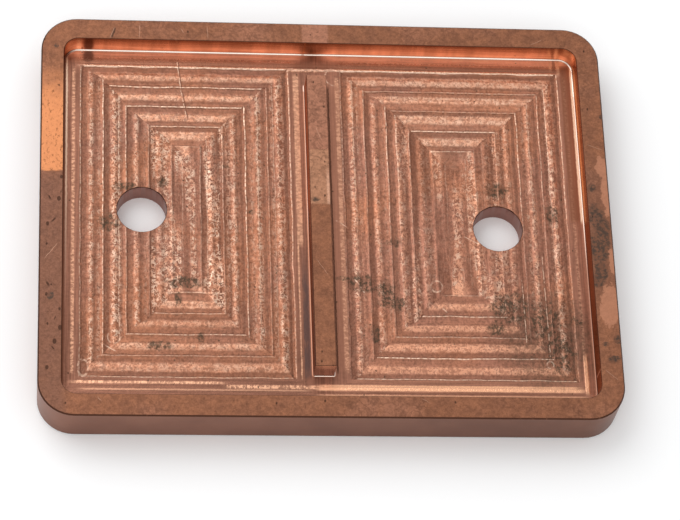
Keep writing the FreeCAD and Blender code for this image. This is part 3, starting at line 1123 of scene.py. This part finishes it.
# ---------------- walls, sides and edges
def paint_rib_walls(paint):
    """Painted reflections on the rib's walls: the left wall dark at its near half and orange at its
    far half, and its near end painted bright.
    """
    on_left = paint.x.about(RIB.left, 0.2, 0.4)
    paint.coat(on_left * paint.y.ease(4.8, 1.2) * 0.9, (0.13, 0.057, 0.04))
    paint.coat(on_left * paint.y.ease(1.2, 4.8) * 0.5, (0.85, 0.36, 0.17))
    near_end = paint.y.about(RIB.near, 0.2, 0.4)
    paint.coat(near_end, (0.93, 0.78, 0.74))
    return on_left.max(near_end)


def paint_wall():
    """Polished copper that mirrors the chamber, with painted reflections on top: stretches painted
    darker or brighter, and painted highlights.
    """
    paint = Paint("polished_wall")
    x, y, z = paint.x, paint.y, paint.z
    lines = paint.grain((0.05, 0.05, 2.4), 3)
    flow = paint.grain((0.12, 0.12, 0.5))
    strips = paint.grain((0.3, 0.3, 0.02), 3).ease(0.35, 0.65)
    low = z.ease(TOP - 1.5, FLOOR + 1.2)
    on_far = y.over(40)
    paint.colour = paint.mix(lines.ease(0.3, 0.7), (0.62, 0.295, 0.18), (0.78, 0.41, 0.27))
    # Painted shade: darker low on the walls, less so on the far wall, which is painted brighter.
    paint.dim(0.8 + on_far * 0.14 + strips * 0.3 - low * (0.24 - on_far * 0.1))
    # Painted reflections: the left wall darker red, dark and bright streaks at the far corners, the
    # right wall dark at its near part and bright at its far part.
    on_left = x.ease(-60, -66) * (1 - on_far)
    paint.coat(on_left * 0.7, (0.46, 0.165, 0.085))
    corner = (x.about(-62.4, 0.6, 2) * on_far).max(x.about(65.2, 0.2, 0.6) * on_far * 0.8)
    paint.coat(corner * 0.8, (0.16, 0.065, 0.045))
    gleams = [(-65, 0.3, 0.9), (64, 0.2, 0.7), (66.6, 0.3, 0.8)]
    paint.coat(most([x.about(*gleam) * on_far for gleam in gleams]) * 0.7, (1, 0.62, 0.42))
    on_right = x.ease(60, 66)
    paint.coat(on_right * y.ease(24, -14) * 0.85, (0.3, 0.2, 0.17))
    right_far = on_right * y.ease(0, 10)
    paint.coat(right_far * 0.8, (0.72, 0.36, 0.215))
    bright = paint_rib_walls(paint).max(right_far * 0.7)
    # Darker towards the top edge, except where reflections are painted.
    darker_top = z.ease(TOP - 1.6, TOP - 0.2) * (0.25 + flow * 0.6) * (1 - bright)
    paint.coat(darker_top, (0.3, 0.115, 0.07))
    height = lines * 0.01 + flow * 0.03
    return paint.finish(0.12 + lines * 0.12, height, glancing=(0.62, 0.44, 0.36))


def paint_foot():
    """The small radius at the foot of the walls, where a thin line catches the light and is painted
    bright as a highlight; painted shade darkens the foot on the left and at the near right.
    """
    paint = Paint("bright_foot")
    x, y = paint.x, paint.y
    flow = paint.grain(0.15, 3)
    beside_rib = x.about(RIB.left - FOOT / 2, 0.3, 0.5)
    half_width = y.over(40) * 0.06 - beside_rib * 0.035
    line = (paint.z - FLOOR - 0.1 - flow * 0.04).abs() - half_width
    line = 1 - line.ease(0.05, 0.13)
    left = 1 - x.ease(-68.2, -64)
    on_right = x.ease(60, 66)
    right_near = on_right * y.ease(14, -16)
    rib_left = beside_rib * (0.55 + y.ease(6, -8) * 0.35)
    # Painted shade: the foot is darker on the left and at the near right, and the highlight line
    # fades there, beside the rib and along the right.
    dim = most([left, right_near * 0.92, rib_left, on_right * 0.38])
    paint.colour = paint.mix(left.max(right_near * 0.6), (0.44, 0.19, 0.115), (0.15, 0.055, 0.032))
    paint.coat(line * (1 - dim), (1, 0.87, 0.77))
    rough = 0.2 - line * 0.06 + dim * 0.16
    return paint.finish(rough, flow * 0.01, glancing=(0.8, 0.6, 0.5))


def paint_side():
    """The outer sides: fine level tool lines, with painted shade that makes them a little darker to
    the right.
    """
    paint = Paint("satin_side")
    lines = paint.grain((0.04, 0.04, 3), 3)
    cloud = paint.grain(0.1, 3).ease(0.3, 0.7)
    paint.colour = paint.mix(cloud, (0.285, 0.118, 0.072), (0.34, 0.146, 0.09))
    paint.dim(0.88 + lines * 0.24 - paint.x.ease(-50, 75) * 0.22)
    return paint.finish(0.34 + lines * 0.12, lines * 0.008)


def paint_bore():
    """The ports, with the drill's fine rings."""
    paint = Paint("drilled_bore")
    lines = paint.grain((0.1, 0.1, 2.2), 3)
    paint.colour = paint.mix(lines, (0.35, 0.175, 0.145), (0.44, 0.23, 0.185))
    return paint.finish(0.36 + lines * 0.1, lines * 0.012)


def paint_edge():
    """The narrow edge breaks: dark as painted shade, with a few lighter nicks."""
    paint = Paint("dark_edge")
    nicks = paint.grain(0.7, 3)
    nicked = nicks.ease(0.62, 0.8)
    paint.colour = paint.mix(nicked, (0.09, 0.038, 0.024), (0.26, 0.115, 0.07))
    return paint.finish(0.45, nicks * 0.02)


def paint_base():
    """The underside, which the photo doesn't show: plain, with fine cutter lines."""
    paint = Paint("plain_base")
    lines = paint.grain((1.1, 0.03, 1), 3)
    cloud = paint.grain(0.05, 3).ease(0.3, 0.7)
    paint.colour = paint.mix(cloud, (0.4, 0.18, 0.115), (0.47, 0.22, 0.145))
    paint.dim(0.85 + lines * 0.3)
    return paint.finish(0.36 + lines * 0.1, lines * 0.01)


# In the order of MATERIALS.
FINISHES = (
    paint_floor, paint_foot, paint_wall, paint_rim, paint_edge, paint_side, paint_bore, paint_base
)

plate = make_plate()
for finish in FINISHES:
    plate.data.materials.append(finish())
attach(plate, "root")
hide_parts("cold_plate")


# ---------------- floor, light and camera
FLOOR_REACH = 3
SKY = 0.76
WHITE = 1


def add_floor_plane():
    """The matt white surface that the plate lies on."""
    mesh = bpy.data.meshes.new("studio_floor")
    corners = [(x * FLOOR_REACH, y * FLOOR_REACH, 0) for x, y in ((-1, -1), (1, -1), (1, 1), (-1, 1))]
    mesh.from_pydata(corners, [], [(0, 1, 2, 3)])
    piece = bpy.data.objects.new("studio_floor", mesh)
    bpy.context.scene.collection.objects.link(piece)
    material = bpy.data.materials.new("studio_floor")
    material.use_nodes = True
    shader = material.node_tree.nodes["Principled BSDF"]
    shader.inputs["Base Color"].default_value = (0.97, 0.975, 0.98, 1)
    shader.inputs["Roughness"].default_value = 0.9
    shader.inputs["Specular IOR Level"].default_value = 0
    mesh.materials.append(material)


def add_light(name, place, width, height, power):
    """A soft rectangular lamp that faces the plate."""
    lamp = bpy.data.lights.new(name, "AREA")
    lamp.shape = "RECTANGLE"
    lamp.size, lamp.size_y, lamp.energy = width, height, power
    holder = bpy.data.objects.new(name, lamp)
    holder.location = place
    holder.rotation_euler = (-Vector(place)).to_track_quat("-Z", "Y").to_euler()
    bpy.context.scene.collection.objects.link(holder)


def set_world():
    """White where the camera sees it or the metal mirrors it, and a softer sky over the floor."""
    world = bpy.data.worlds.new("studio")
    world.use_nodes = True
    tree = world.node_tree
    tree.nodes.clear()
    paths = add_node(tree, "LightPath").outputs
    shown = paths["Is Camera Ray"]
    for name in ("Is Glossy Ray", "Is Transmission Ray"):
        either = add_node(tree, "Math", {0: shown, 1: paths[name]}, operation="MAXIMUM")
        shown = either.outputs[0]
    sky, white = (
        add_node(tree, "Background", {"Color": (1, 1, 1), "Strength": strength}).outputs[0]
        for strength in (SKY, WHITE)
    )
    chosen = add_node(tree, "MixShader", {0: shown, 1: sky, 2: white})
    add_node(tree, "OutputWorld", {"Surface": chosen.outputs[0]})
    bpy.context.scene.world = world


def set_camera():
    """The photograph's view: from above and the near left, with a long lens and some roll."""
    target = Vector((3.36, -10.21, 6.25)) * MM
    azimuth, elevation, distance = math.radians(-13.6), math.radians(63.265), 0.76166
    roll = math.radians(13)
    level = math.cos(elevation)
    back = Vector((math.sin(azimuth) * level, -math.cos(azimuth) * level, math.sin(elevation)))
    lens = bpy.data.cameras.new("photo_view")
    lens.lens = 154.24
    lens.sensor_width = 36
    lens.clip_start = 0.01
    camera = bpy.data.objects.new("photo_view", lens)
    camera.location = target + back * distance
    camera.rotation_mode = "QUATERNION"
    aim = (-back).to_track_quat("-Z", "Y")
    camera.rotation_quaternion = aim @ Quaternion((0, 0, 1), roll)
    bpy.context.scene.collection.objects.link(camera)
    bpy.context.scene.camera = camera


add_floor_plane()
set_world()
add_light("key", (-0.5, 0.5, 0.8), 1, 1, 5.3)
add_light("front", (-0.1, -0.75, 0.85), 1.1, 0.6, 1.8)
set_camera()
bpy.context.scene.view_settings.view_transform = "Standard"
